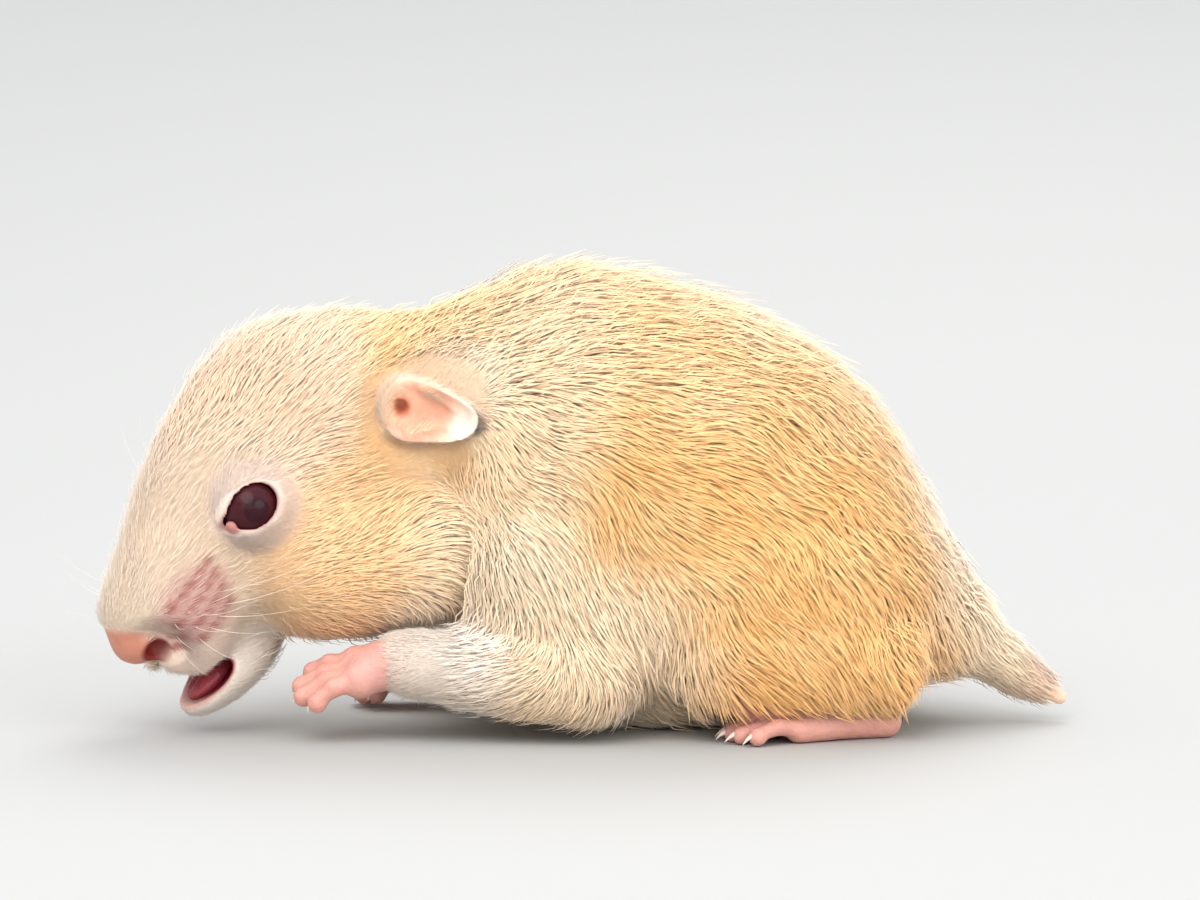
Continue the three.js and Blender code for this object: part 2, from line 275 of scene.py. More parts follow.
def short_coat():
    """Each place of shorter coat: its shape, how softly it runs out, and the coat's depth there."""
    places = [
        (head_egg((4, 0, -1), (13, 11, 12)), 5, 0.85),  # head
        (head_egg((-4, 0, -3), (7, 7, 8)), 5, 0.45),  # face
        (head_egg((-9, 0, -5.5), (4, 4, 4.5)), 2.5, 0.32),  # muzzle
        (rod(TAIL_ROOT, TAIL_TIP, 2, 1), 3, 0.6),
    ]
    for name, s in SIDES.items():
        x, y, z = EAR_AT[name]
        places += [
            (egg(EYES[name], 2.3), 2, 0.34),
            (head_egg((x - 1, s * (y - 1), z + 1), (4, 3.5, 4)), 2.5, 0.38),
            (rod(ELBOWS[name], WRISTS[name], 2.5, 1.5), 2.5, 0.75),
            (egg(WRISTS[name], 2), 4.5, 0.35),
        ]
    places += [(rod(foot["heel"], foot["toe"], 1, 1), 1.6, 0.3) for foot in FEET.values()]
    return places


SHORT_COAT = short_coat()


def coat_depth(points):
    depth = np.full(points.shape[:-1], BODY_COAT)
    for shape, soft, value in SHORT_COAT:
        share = within(shape, points, soft)
        depth = np.minimum(depth, depth + (value - depth) * share)
    return depth


def grid_points(axes):
    return np.stack(np.meshgrid(*axes, indexing="ij"), -1)


def gathered(items, name, width, kind=np.float32):
    """One property of all the items, as an array with a row for each."""
    values = np.empty(len(items) * width, kind)
    items.foreach_get(name, values)
    return values.reshape(-1, width)


def triangles_of(node):
    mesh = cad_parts[node].data
    mesh.calc_loop_triangles()
    corners = gathered(mesh.loop_triangles, "vertices", 3, np.int32)
    return gathered(mesh.vertices, "co", 3) / MM, corners.astype(np.uint32)


def distances(points, faces, axes, band):
    """Signed distances from a closed mesh at the points of the coarse grid, right up to band."""
    transform = vdb.createLinearTransform(voxelSize=COARSE)
    grid = vdb.FloatGrid.createLevelSetFromPolygons(
        points.astype(np.float32), transform=transform, halfWidth=band / COARSE, **faces
    )
    values = np.empty([len(a) for a in axes], np.float32)
    corner = [int(round(a[0] / COARSE)) for a in axes]
    grid.copyToArray(values, ijk=corner)
    return values


def surface(values, axes):
    """The mesh where the values are zero."""
    grid = vdb.FloatGrid(1.0)
    grid.copyFromArray(np.ascontiguousarray(values, np.float32))
    points, triangles, quads = grid.convertToPolygons(isovalue=0.0, adaptivity=0.0)
    points = np.stack([np.interp(points[:, k], np.arange(len(a)), a) for k, a in enumerate(axes)], 1)
    return points, quads


def blurred(values, width):
    reach = int(np.ceil(3 * width))
    taps = np.exp(-0.5 * (np.arange(-reach, reach + 1) / width) ** 2)
    taps = (taps / taps.sum()).astype(np.float32)
    for axis in range(3):
        pad = [(reach, reach) if k == axis else (0, 0) for k in range(3)]
        wide = np.pad(values, pad, mode="edge")
        length = values.shape[axis]
        total = np.zeros_like(values)
        for k, tap in enumerate(taps):
            total += tap * np.take(wide, range(k, k + length), axis)
        values = total
    return values


def resampled(values, old_axes, new_axes):
    """The values at a finer grid's points, by a smooth curve through four points on each axis."""
    for axis, (old, new) in enumerate(zip(old_axes, new_axes)):
        at = (new - old[0]) / (old[1] - old[0])
        first = np.floor(at).astype(int)
        t = at - first
        taps = [
            -0.5 * t + t**2 - 0.5 * t**3,
            1 - 2.5 * t**2 + 1.5 * t**3,
            0.5 * t + 2 * t**2 - 1.5 * t**3,
            -0.5 * t**2 + 0.5 * t**3,
        ]
        shape = [-1 if k == axis else 1 for k in range(3)]
        total = 0
        for k, tap in enumerate(taps):
            index = np.clip(first + k - 1, 0, len(old) - 1)
            total = total + np.take(values, index, axis) * tap.astype(np.float32).reshape(shape)
        values = total
    return values


class Flesh:
    """A grid of distances from the skin, that shapes are added to and cut from."""

    def __init__(self, axes, values):
        self.axes = axes
        self.values = values

    def _change(self, shape, at, reach, join):
        cut = tuple(
            slice(*np.searchsorted(a, (at[k] - reach, at[k] + reach))) for k, a in enumerate(self.axes)
        )
        points = grid_points([a[c] for a, c in zip(self.axes, cut)])
        self.values[cut] = join(self.values[cut], shape(points))

    def add(self, shape, at, reach, soft):
        self._change(shape, at, reach, lambda old, new: soft_min(old, new, soft))

    def cut(self, shape, at, reach, soft):
        self._change(shape, at, reach, lambda old, new: soft_max(old, -new, soft))


def coarse_body():
    boxes = np.array([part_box(node) for node in FLESH_NODES]) / MM
    low = boxes[:, 0].min(0) - MARGIN
    high = boxes[:, 1].max(0) + MARGIN
    axes = [np.arange(np.floor(a / COARSE), np.ceil(b / COARSE) + 1) * COARSE for a, b in zip(low, high)]
    nearest = np.full([len(a) for a in axes], FAR, np.float32)
    for node in FLESH_NODES:
        points, triangles = triangles_of(node)
        own = distances(points, {"triangles": triangles}, axes, CLOSE + 3 * COARSE)
        nearest = np.minimum(nearest, own)
    points, quads = surface(nearest - CLOSE, axes)
    closed = distances(points, {"quads": quads}, axes, DEEPEST) + CLOSE
    sparse = [a[::SPARSE] for a in axes]
    depth = resampled(coat_depth(grid_points(sparse)), sparse, axes)
    return axes, blurred(closed + depth, SMOOTH / COARSE)


# ---- Details of the skin ----
# The head's shapes on its own axes: middle and radii, of the right one where there are two.
BRIDGE = ((-8, 0, -1.6), (2.7, 2.2, 2.2))
WHISKER_PAD = ((-6.7, 2.7, -3.4), (2.6, 1.8, 2.5))
CHIN = ((-5.8, 0, -9.1), (4.4, 2.9, 1.7))
MUZZLE_CORNER = ((-12.3, 5, -3.8), (4.2, 4.2, 4.4))
NOSE_PAD = ((-9.8, 0, -3), (1.55, 1.7, 1.5))
NOSTRIL_RIM = ((-9.6, 1.5, -3.3), (0.9, 0.75, 1.1))
NOSTRIL_HOLE = ((-9.6, 2.05, -3.75), (0.8, 0.75, 0.75))
MOUTH_HOLE = ((-8.5, 0, -7.8), (3.6, 3.2, 1.4))
MOUTH_PITCH = -8
FLOOR_GAP = 0.02  # under the skin

LID = 0.14  # thickness of the lids' rim
LID_LENGTH = 3.4  # of the opening between the lids
LID_HEIGHT = 2.5
LID_RISE = 0.3  # of the opening's middle above the eyeball's
LID_CORNER = 0.9  # from the middle to where the front corner starts to narrow
EYE_GAP = 0.03
CARUNCLE_AT = (-1.85, -0.05, 1.05)  # along, across and outward of the eye
EAR_THICK = 0.5
EAR_HALF_LENGTH = 2.8
EAR_HALF_WIDTH = 1.95
EAR_CUP = 0.9
EAR_CURL = 0.3
EAR_FOLD = 0.5
EAR_TAPER = -0.3  # how much wider the ear gets from its middle to its tip
EAR_RIDGES = (((-0.45, 0.75, 0.3), (0.35, 0.35, 0.3)), ((-0.6, -0.7, 0.3), (0.2, -0.4, 0.3)))


def add_muzzle(flesh):
    middle = on_head((-7, 0, -5))
    for at, radii in (BRIDGE, *each_side(*WHISKER_PAD), CHIN):
        flesh.add(head_egg(at, radii), middle, reach=9, soft=1.2)
    for at, radii in each_side(*MUZZLE_CORNER):
        flesh.cut(head_egg(at, radii), on_head(at), reach=6, soft=0.9)
    start = on_head((1, -5.1, -7))  # the near cheek is pressed out by the turned head
    end = on_head((6, -8.6, -9.6))
    flesh.add(rod(start, end, 3.5, 3.9), (start + end) / 2, reach=9, soft=2.4)


def add_nose(flesh):
    middle = on_head((-10, 0, -4))
    flesh.add(head_egg(*NOSE_PAD), middle, reach=4, soft=0.8)
    for s, rim, hole in zip(SIDES.values(), each_side(*NOSTRIL_RIM), each_side(*NOSTRIL_HOLE)):
        flesh.add(head_egg(*rim), middle, reach=4, soft=0.4)
        flesh.cut(head_egg(*hole), middle, reach=4, soft=0.25)
        slit = rod(on_head((-9.5, s * 2.1, -3.9)), on_head((-8.6, s * 2.5, -4.6)), 0.26, 0.1)
        flesh.cut(slit, middle, reach=4, soft=0.2)
    split_lip = rod(on_head((-11.5, 0, -3.6)), on_head((-9.6, 0, -6.8)), 0.14, 0.2)
    flesh.cut(split_lip, middle, reach=4.5, soft=0.3)


def add_mouth(flesh):
    flesh.cut(head_egg(*MOUTH_HOLE, MOUTH_PITCH), on_head((-8, 0, -8)), reach=6, soft=0.35)


def eye_axes(side):
    """Along the lids, across them and outward of one eye."""
    s = SIDES[side]
    out = unit(HEAD_AXES @ np.array((-0.22, s, 0.16)))
    along = HEAD_AXES @ np.array((1, 0, -0.06))
    along = unit(along - out * (along @ out))
    return along, s * np.cross(out, along), out


def lid_opening(side):
    """The almond between the lids of one eye, as a tube outwards. Its front corner is drawn out."""
    along, across, out = eye_axes(side)

    def distance(points):
        q = points - EYES[side]
        u = q @ along
        v = q @ across + LID_RISE
        corner = np.maximum(-u - LID_CORNER, 0)
        reach = np.hypot(u / (LID_LENGTH / 2 + 0.3 * corner), v / (LID_HEIGHT / 2 - 0.35 * corner))
        return np.maximum((reach - 1) * LID_HEIGHT / 2, -(q @ out))

    return distance


def caruncle_at(side):
    return EYES[side] + np.stack(eye_axes(side), 1) @ CARUNCLE_AT


def add_lids(flesh, side):
    at = EYES[side]
    flesh.add(egg(at, EYE_RADIUS + LID), at, reach=6, soft=1.6)
    flesh.cut(egg(at, EYE_RADIUS + EYE_GAP), at, reach=5, soft=0.02)
    flesh.cut(lid_opening(side), at, reach=5, soft=0.3)
    caruncle = caruncle_at(side)
    flesh.add(egg(caruncle, 0.34), caruncle, reach=1.5, soft=0.3)


def ear_axes():
    """Along, across and outward of a right ear, on the head's axes."""
    along = unit((0.36, 0.75, -0.53))
    up = np.array((0.63, 0.18, 0.75))
    across = unit(up - along * (up @ along))
    return np.stack([along, across, np.cross(across, along)], 1)


def ear_bend(u, v):
    """How far the ear's leaf stands out at a place on it, as it is cupped, curled and folded."""
    return EAR_CUP * v**2 + EAR_CURL * u**2 + EAR_FOLD * np.maximum(0.5 * u + v - 0.8, 0)


def ear_place(side, points):
    """Where points are along, across and outward of an ear's middle, as if it were a right one."""
    q = to_head(points)
    q[..., 1] *= SIDES[side]
    u, v, w = np.moveaxis((q - np.array(EAR_AT[side])) @ ear_axes(), -1, 0)
    u = u / EAR_HALF_LENGTH
    v = v / (EAR_HALF_WIDTH * (1 + EAR_TAPER * u))
    return u, v, w - ear_bend(u, v)


def on_ear(side, u, v, w):
    """The point at a place on an ear."""
    way = (u * EAR_HALF_LENGTH, v * EAR_HALF_WIDTH * (1 + EAR_TAPER * u), w + ear_bend(u, v))
    q = np.array(EAR_AT[side]) + ear_axes() @ way
    q[1] *= SIDES[side]
    return on_head(q)


def ear_leaf(side):
    def distance(points):
        u, v, w = ear_place(side, points)
        u = np.where(u < 0, u * 0.8, u)
        r = np.cbrt(np.abs(u) ** 3 + np.abs(v) ** 3)
        rim = (r - 0.97) * EAR_HALF_WIDTH
        thick = EAR_THICK * (1 + 0.35 * smooth_step(0.6, 0.95, r))
        return soft_max(np.abs(w) - thick / 2, rim, 0.35)

    return distance


def add_ear(flesh, side):
    middle = on_ear(side, 0, 0, 0)
    flesh.add(ear_leaf(side), middle, reach=5.5, soft=0.7)
    root = on_ear(side, -1, 0, -0.5)
    flesh.add(egg(root, (1.4, 1.3, 1.6)), root, reach=3.5, soft=1.4)
    for start, end in EAR_RIDGES:
        ridge = rod(on_ear(side, *start), on_ear(side, *end), 0.28, 0.1)
        flesh.add(ridge, middle, reach=4, soft=0.5)
    canal = rod(on_ear(side, -0.88, 0, 1.3), on_ear(side, -1.1, 0, -0.8), 0.75, 0.35)
    flesh.cut(canal, root, reach=3, soft=0.6)


def foot_places(heel, toe, roll, width, count, digit, deep, thick):
    """The palm's two halves, each digit's root, knuckle and tip, and which way is up."""
    heel = np.array(heel)
    length = np.linalg.norm(np.array(toe) - heel)
    way = unit(np.array(toe) - heel)
    level = unit(np.array((0, 1, 0)) - way * way[1])
    across = np.array(Matrix.Rotation(np.radians(roll), 3, Vector(way))) @ level
    up = np.cross(across, way)
    up *= np.sign(up[2]) or 1
    palm = length - digit

    def at(along, out, lift=0.0):
        return heel + way * along + across * out + up * lift

    halves = [(at(deep, 0), at(palm - deep, h * width * 0.3)) for h in (-1, 1)]
    digits = []
    for i in range(count):
        share = 2 * i / (count - 1) - 1
        shorter = digit * 0.28 * share * share
        root = at(palm - 0.9, share * width * 0.34, 0.1)
        tip = at(length - shorter - thick, share * width * 0.56)
        knuckle = (root + tip) / 2 + up * 0.35
        digits.append((root, knuckle, tip))
    return halves, digits, up


def add_foot(flesh, foot):
    halves, digits, up = foot_places(**foot)
    heel = np.array(foot["heel"])
    middle = (heel + foot["toe"]) / 2
    reach = np.linalg.norm(heel - middle) + 2
    deep = foot["deep"]
    thick = foot["thick"]
    for start, end in halves:
        flesh.add(rod(start, end, deep, deep * 0.95), middle, reach, soft=0.8)
    for root, knuckle, tip in digits:
        flesh.add(rod(root, knuckle, thick * 0.95, thick * 0.86), middle, reach, soft=0.3)
        flesh.add(rod(knuckle, tip, thick * 0.84, thick * 0.74), middle, reach, soft=0.22)
        flesh.add(egg(tip - up * thick * 0.2, thick * 0.95), middle, reach, soft=0.2)


def add_limb_ends(flesh):
    """Rounds off the forearms, runs the haunches down to the feet, and draws out the tail."""
    for side, s in SIDES.items():
        heel = np.array(FEET["forepaw_" + side]["heel"])
        wrist = np.array(WRISTS[side])
        elbow = np.array(ELBOWS[side])
        flesh.add(rod(elbow, wrist, 2.4, 1.85), (elbow + wrist) / 2, reach=12, soft=2)
        flesh.add(rod(wrist, heel + (heel - wrist) * 0.2, 1.85, 1.5), wrist, reach=5, soft=0.9)
        haunch = np.array((14.5, s * 8.8, 5.5))
        thigh = rod(haunch - (4.5, 0, 0), haunch + (4.5, -s * 0.6, 0), 3.3, 2.9)
        flesh.add(thigh, haunch, reach=10, soft=2.0)
    middle = (np.array(TAIL_ROOT) + TAIL_TIP) / 2
    flesh.add(rod(TAIL_ROOT, TAIL_TIP, 1.5, 0.5), middle, reach=8, soft=1)


def make_flesh():
    coarse_axes, coarse = coarse_body()
    low = [a[TRIMMED] for a in coarse_axes]
    high = [a[-1 - TRIMMED] for a in coarse_axes]
    head_step, body_step = FINE_X
    axes = [
        np.concatenate([np.arange(low[0], HEAD_END, head_step), np.arange(HEAD_END, high[0], body_step)]),
        np.arange(low[1], high[1], FINE_YZ),
        np.arange(low[2], high[2], FINE_YZ),
    ]
    flesh = Flesh(axes, resampled(coarse, coarse_axes, axes))
    add_muzzle(flesh)
    add_limb_ends(flesh)
    for side in SIDES:
        add_ear(flesh, side)
        add_lids(flesh, side)
    add_nose(flesh)
    add_mouth(flesh)
    for foot in FEET.values():
        add_foot(flesh, foot)
    height = grid_points([[0], [0], axes[2]])[..., 2].astype(np.float32)
    flesh.values = soft_max(flesh.values, FLOOR_GAP - height, 0.1)
    return flesh


def mesh_from(name, points, faces):
    """A smooth mesh object from points in millimetres and an array of faces with equal corners."""
    mesh = bpy.data.meshes.new(name)
    corners = faces.shape[1]
    mesh.vertices.add(len(points))
    mesh.vertices.foreach_set("co", (points * MM).astype(np.float32).ravel())
    mesh.loops.add(faces.size)
    mesh.loops.foreach_set("vertex_index", faces.astype(np.int32).ravel())
    mesh.polygons.add(len(faces))
    mesh.polygons.foreach_set("loop_start", np.arange(0, faces.size, corners, dtype=np.int32))
    mesh.polygons.foreach_set("use_smooth", np.full(len(faces), True))
    mesh.update(calc_edges=True)
    mesh.validate()
    made = bpy.data.objects.new(name, mesh)
    bpy.context.collection.objects.link(made)
    return made


def fan(point, first, count):
    """The triangles between a point and the ring of count points that starts at first."""
    return [(point, first + (k + 1) % count, first + k) for k in range(count)]


def sleeve(first, rings, count):
    """The triangles between rings of count points each, the first of which starts at first."""
    faces = []
    for start in range(first, first + (rings - 1) * count, count):
        for k in range(count):
            a, b = start + k, start + (k + 1) % count
            faces += [(a, b + count, b), (a, a + count, b + count)]
    return faces


def wheel(radii, heights, spokes):
    """Rings of points, and the triangles between them and a point 0 in their middle."""
    turn = np.linspace(0, 2 * np.pi, spokes, endpoint=False)
    ways = np.stack([np.cos(turn), np.sin(turn)], 1)
    points = [(*(way * radius), height) for radius, height in zip(radii, heights) for way in ways]
    middle = [face[::-1] for face in fan(0, 1, spokes)]
    return points, middle + sleeve(1, len(radii), spokes)


# ---- Markings, with painted light and shade: the same for the skin and the coat ----
WHISKER_ROWS = 4
WHISKERS_IN_ROW = 5


def pad_dot(row, k):
    """Where a whisker stands, along the head and up it."""
    return -8.0 + 0.95 * k - 0.2 * row, -1.3 - 0.95 * row + 0.1 * k


# The markings' colours, and those of painted light and shade.
FLANK = (1, 0.535, 0.205)
BACK = (1, 0.64, 0.345)
CROWN = (0.93, 0.64, 0.44)
CHEEK = (1, 0.6, 0.31)
# pale fur; on the neck, rump and tail it is also laid on as painted light
PALE = (1, 0.77, 0.53)
WHITE = (0.95, 0.82, 0.7)
CREAM = (0.99, 0.74, 0.48)
MUZZLE = (0.86, 0.66, 0.48)
PAD = (0.69, 0.37, 0.32)
# partly the lip's pale colour, partly painted light that lifts the shade under the whisker pad
LIP_SIDE_PAINTED_LIGHT = (0.93, 0.7, 0.56)
PAD_DOT = (0.42, 0.14, 0.11)
NOSE = (0.55, 0.2, 0.125)
# the nostrils: their own dark red, darkened further by painted shade
NOSTRIL_WITH_PAINTED_SHADE = (0.2, 0.012, 0.006)
# the inside of the mouth: its own red, darkened further by painted shade
MOUTH_WITH_PAINTED_SHADE = (0.26, 0.015, 0.03)
LIP = (0.66, 0.36, 0.3)
BARE_LID = (0.8, 0.57, 0.49)
LID_RIM = (0.2, 0.05, 0.055)
CARUNCLE = (0.55, 0.22, 0.2)
# painted shadow under the ear's lower rim
PAINTED_EAR_SHADOW = (0.9, 0.5, 0.2)
AROUND_EYE = (0.85, 0.64, 0.53)
PAW = (0.68, 0.325, 0.275)
EAR = (0.84, 0.4, 0.26)
EAR_RIM = (0.93, 0.66, 0.5)
EAR_END = (1, 0.84, 0.72)
CANAL = (0.88, 0.4, 0.25)
TAIL_END = (0.9, 0.6, 0.42)
UNDER_COAT = (1, 1.06, 1.15)  # makes up for the little light between the tufts


def pad_places(side):
    """The pink whisker pad, the rows of dots on it, and the pale side of the lip below it, partly painted
    light that lifts the shade under the pad.
    """
    s = SIDES[side]
    places = [
        (head_egg((-6.4, s * 4.6, -2.3), (1.9, 1.6, 1.5)), 1.6, PAD, 0.75),
        (head_egg((-8.4, s * 3.9, -2.8), (1.2, 1.5, 1)), 1.3, PAD, 0.4),
        # partly the lip's pale colour, partly painted light that lifts the shade under the whisker pad
        (head_egg((-7.8, s * 3, -5.6), (1.8, 1.8, 1)), 1.2, LIP_SIDE_PAINTED_LIGHT, 0.8),
    ]
    for row in range(WHISKER_ROWS):
        for k in range(WHISKERS_IN_ROW):
            x, z = pad_dot(row, k)
            dot = rod(on_head((x, s * 2, z)), on_head((x, s * 6, z)), 0.14, 0.14)
            places.append((dot, 0.35, PAD_DOT, 0.85))
    return places


def fur_places():
    """Each marking of the coat, and each patch of painted light and shade: its shape, how softly it runs out,
    its colour and its strength.
    """
    places = [
        (head_egg((2, 0, 4), (11, 9, 6)), 4, CROWN, 0.9),
        (head_egg((-4, 0, -1), (8, 7, 6)), 4, MUZZLE, 0.75),
        (head_egg((-8, 0, -5), (5, 5, 5)), 2.5, MUZZLE, 0.9),
        (head_egg((-5, 0, -10), (6, 4, 3)), 2, WHITE, 0.8),
        (rod((-16, 0, 6), (14, 0, -2), 5, 6), 4, CREAM, 0.9),
        # partly the rump's paler fur, partly painted light for the bright rim along its outline
        (egg((27, 0, 14), (4, 8, 7)), 5, PALE, 0.7),
        # partly the tail's paler fur, partly painted light that lifts the shade on its underside
        (rod(TAIL_ROOT, TAIL_TIP, 3, 2), 3, PALE, 0.85),
        (rod((30.5, 0, 3.5), TAIL_TIP, 1, 2), 2, TAIL_END, 0.8),
    ]
    for name, s in SIDES.items():
        places += [
            (head_egg((4, s * 8, -6), (6, 5, 4)), 3, CHEEK, 0.9),
            (egg(EYES[name], 2.4), 1.2, AROUND_EYE, 0.7),
            (egg(on_ear(name, -0.3, 0.6, -0.5), 3), 2.5, CROWN, 0.7),
            (rod((-5, s * 11, 9), (1.5, s * 11, 6), 3.8, 3.2), 6.5, PALE, 0.8),
            # partly pale fur, partly painted light that lifts the shade in the neck behind the cheek and ear
            (rod((-6.5, s * 10, 14), (-4.5, s * 7, 23), 2.2, 3), 5.5, PALE, 0.6),
            (rod(np.array(WRISTS[name]) + (4, 0, 0), WRISTS[name], 2.2, 2.5), 3.5, WHITE, 0.8),
            # painted shadow under the ear's lower rim, in a darker orange
            (egg(on_ear(name, 0.3, -1.5, -0.9), (1.6, 1.6, 1)), 1.2, PAINTED_EAR_SHADOW, 0.6),
            *pad_places(name),
        ]
    return places


def skin_places():
    """Each marking of bare skin, with the painted shade in the mouth and nostrils and the painted light
    beside the lips, as for the coat.
    """
    places = [
        (head_egg((-10.1, 0, -2.8), (1.6, 1.9, 1.5)), 1.1, NOSE, 0.95),
        (head_egg((-8.5, 0, -7.8), (3.8, 3.4, 1.6), MOUTH_PITCH), 0.3, LIP, 0.85),
        # inside the mouth: its own red, darkened further by painted shade
        (head_egg((-7.7, 0, -7.8), (3.3, 3, 1.5), MOUTH_PITCH), 0.25, MOUTH_WITH_PAINTED_SHADE, 1),
        (rod(TAIL_ROOT, TAIL_TIP, 1, 1.6), 1, TAIL_END, 0.8),
    ]
    for name, s in SIDES.items():
        places += [
            # inside the nostril: its own dark red, darkened further by painted shade
            (head_egg((-9.45, s * 1.75, -3.75), (1, 0.9, 0.95)), 0.35, NOSTRIL_WITH_PAINTED_SHADE, 1),
            (lid_opening(name), 0.5, BARE_LID, 0.7),
            (lid_opening(name), 0.34, LID_RIM, 0.95),
            (egg(caruncle_at(name), 0.45), 0.3, CARUNCLE, 0.9),
            *pad_places(name),
            (grown(ear_leaf(name), 0.2), 0.4, EAR_RIM, 1.0),
            (egg(on_ear(name, -0.45, 0, 0.2), 1.7), 1.4, EAR, 0.9),
            (egg(on_ear(name, 0.8, -0.1, 0.2), 0.8), 1.2, EAR_END, 0.8),
            (egg(on_ear(name, -0.95, 0, 0.1), 0.7), 0.5, CANAL, 0.95),
        ]
    places += [(rod(foot["heel"], foot["toe"], 1.8, 3.2), 1.2, PAW, 0.95) for foot in FEET.values()]
    return places


def painted(colours, points, places):
    """The colours at points, with each marking and each patch of painted light and shade laid over those
    before it.
    """
    for shape, soft, colour, strength in places:
        share = within(shape, points, soft)[:, None] * strength
        colours = colours + (np.array(colour) - colours) * share
    return colours


def waves(size):
    """A smooth random field of about unit spread, that changes over a distance of size."""
    COUNT = 7
    ways = unit(random.normal(size=(COUNT, 3))) * (2 * np.pi / size) * random.uniform(0.6, 1.5, (COUNT, 1))
    phases = random.uniform(0, 2 * np.pi, COUNT)

    def field(points):
        return np.sin(points @ ways.T + phases).sum(-1) / np.sqrt(COUNT / 2)

    return field


WARMER = np.array((0.004, -0.018, -0.05))  # what a warm patch adds to each colour
WARMTH = waves(7)
WARMTH_SMALL = waves(2.4)


def fur_colour(points):
    up = smooth_step(15, 33, points[:, 2])[:, None]
    colours = np.array(FLANK) + (np.array(BACK) - np.array(FLANK)) * up
    warm = (WARMTH(points) + 0.7 * WARMTH_SMALL(points))[:, None]
    return painted(colours * (1 + warm * WARMER), points, fur_places())


def skin_colour(points):
    return painted(fur_colour(points) * np.array(UNDER_COAT), points, skin_places())


# ---- Materials ----
def set_up(material, node, inputs):
    """Sets a node's properties and its sockets, each to a value or to another node's output."""
    for name, value in inputs.items():
        socket = node.inputs.get(name.replace("_", " "))
        if socket is None:
            setattr(node, name, value)
        elif isinstance(value, bpy.types.NodeSocket):
            material.node_tree.links.new(value, socket)
        else:
            socket.default_value = value


def new_node(material, kind, **inputs):
    node = material.node_tree.nodes.new("ShaderNode" + kind)
    set_up(material, node, inputs)
    return node


def set_shader(material, **inputs):
    set_up(material, material.node_tree.nodes["Principled BSDF"], inputs)
    return material


def new_material(name, **inputs):
    material = bpy.data.materials.new(name)
    material.use_nodes = True
    return set_shader(material, **inputs)


def noise(material, scale, detail):
    place = new_node(material, "TexCoord").outputs["Object"]
    return new_node(material, "TexNoise", Vector=place, Scale=scale, Detail=detail).outputs["Fac"]


def marked_material(name, scale, detail, spread, **inputs):
    """A material in the piece's own colours, markings with painted light and shade among them, made lighter
    and darker by a noise, by up to spread.
    """
    material = new_material(name, **inputs)
    markings_and_painted_light = new_node(material, "Attribute", attribute_name="markings_and_painted_light").outputs["Color"]
    change = new_node(
        material, "MapRange", Value=noise(material, scale, detail),
        From_Min=0.3, From_Max=0.7, To_Min=1 - spread, To_Max=1 + spread,
    ).outputs["Result"]
    colour = new_node(material, "VectorMath", operation="SCALE", Vector=markings_and_painted_light, Scale=change)
    return set_shader(material, Base_Color=colour.outputs["Vector"])


def grained(material, scale, detail, height):
    """The material with a fine relief."""
    bump = new_node(material, "Bump", Distance=height, Height=noise(material, scale, detail))
    return set_shader(material, Normal=bump.outputs["Normal"])


# ---- Skin ----
def set_colours(piece, colours):
    """Gives a piece its colours, markings and painted light and shade together: a colour for each point, or
    one for all.
    """
    attribute = piece.data.color_attributes.new("markings_and_painted_light", "FLOAT_COLOR", "POINT")
    rgba = np.ones((len(piece.data.vertices), 4), np.float32)
    rgba[:, :3] = np.clip(colours, 0, 1)
    attribute.data.foreach_set("color", rgba.ravel())


def finish_piece(piece, material, replaces=()):
    piece.data.materials.append(material)
    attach(piece, "root")
    if replaces:
        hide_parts(*replaces)


def outward(points, quads):
    """The quads in the order that makes the mesh's faces look outwards."""
    a, b, c = (points[quads[:, k]] for k in range(3))
    return quads if np.einsum("ij,ij->", a, np.cross(b, c)) > 0 else quads[:, ::-1]


def make_skin(flesh):
    points, quads = surface(flesh.values, flesh.axes)
    quads = outward(points, quads)
    skin = mesh_from("skin", points, quads)
    set_colours(skin, skin_colour(points))
    normals = gathered(skin.data.vertex_normals, "vector", 3)
    material = marked_material(
        "skin", 700, 3, 0.07, Roughness=0.5, Subsurface_Weight=0.25,
        Subsurface_Radius=(1.0, 0.4, 0.25), Subsurface_Scale=0.0008,
    )
    flesh_nodes = [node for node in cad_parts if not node.startswith(("eye", "tongue"))]
    finish_piece(skin, grained(material, 2600, 4, 0.00009), flesh_nodes)
    return points, quads, normals


# ---- The lie of the coat ----
# Each guide is a place and the way that the coat lies near it, and is mirrored to the left.
HEAD_LIE = [
    ((-10, 0, -1), (1, 0, 0.25)), ((-5, 3, 1), (1, 0.1, 0.1)), ((-8, 4, -5), (0.8, 0.2, -0.5)),
    ((2, 6, -3), (1, 0.1, -0.35)), ((3, 4, 5), (1, 0.1, -0.05)), ((6, 8, -8), (0.85, 0, -0.5)),
    ((-6, 0, -10.5), (1, 0, -0.1)), ((10, 0, 7), (1, 0, -0.1)), ((11, 9, 3), (0.9, 0, -0.2)),
]
BODY_LIE = [
    ((-8, 0, 30), (1, 0, 0.3)), ((0, 8, 27), (1, 0, -0.1)), ((-6, 10, 15), (0.6, 0, -0.7)),
    ((0, 11, 8), (0.35, 0, -0.9)), ((-3, 11, 4), (-0.8, 0, -0.5)), ((-9, 10, 5), (-1, 0, -0.1)),
    ((10, 0, 32), (1, 0, -0.2)), ((8, 12, 20), (0.9, 0, -0.4)), ((13, 12, 10), (0.6, 0, -0.8)),
    ((20, 10, 6), (0.5, 0, -0.8)), ((24, 6, 15), (0.65, 0, -0.75)), ((29, 0, 6), (0.83, 0, -0.55)),
    ((33, 0, 2), (0.83, 0, -0.55)), ((0, 0, 0), (1, 0, 0)), ((-12, 0, 8), (0.6, 0, -0.8)),
]


